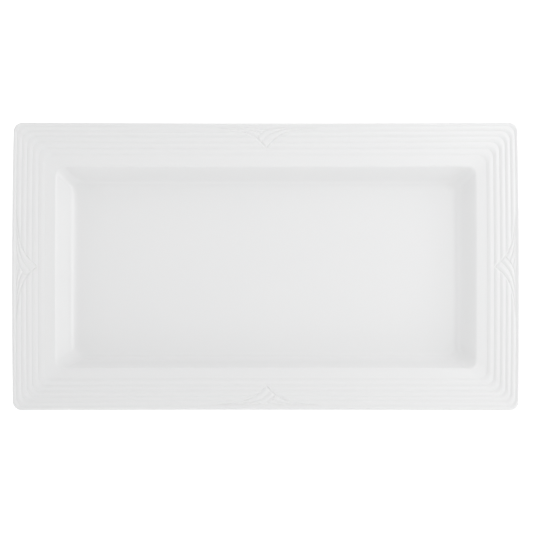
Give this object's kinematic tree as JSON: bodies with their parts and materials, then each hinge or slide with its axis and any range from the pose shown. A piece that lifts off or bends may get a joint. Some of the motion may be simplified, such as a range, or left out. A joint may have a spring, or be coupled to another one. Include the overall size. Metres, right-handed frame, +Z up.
{
  "type": "serving platter",
  "caption": "Rectangular white china serving platter with a sunk flat well and a flared rim moulded with reeds that cross at the middle of each side.",
  "frame": {"origin": "centre of the platter in plan, on the plane of the foot ring's flat face that stands on the table", "axes": "+X along the platter's length, +Y across its width, +Z up out of the well"},
  "size_m": [0.4, 0.23, 0.03],
  "materials": {
    "glaze": "clear gloss glaze over white porcelain",
    "bare_foot": "unglazed, smooth matt"
  },
  "bodies": {
    "root": {"well_floor": "glaze", "well_wall": "glaze", "rim_flange": "glaze", "rim_lip": "glaze", "rim_reeds": "glaze", "crossed_reeds_back": "glaze", "crossed_reeds_right": "glaze", "crossed_reeds_front": "glaze", "crossed_reeds_left": "glaze", "foot_ring": "bare_foot"}
  },
  "joints": []
}
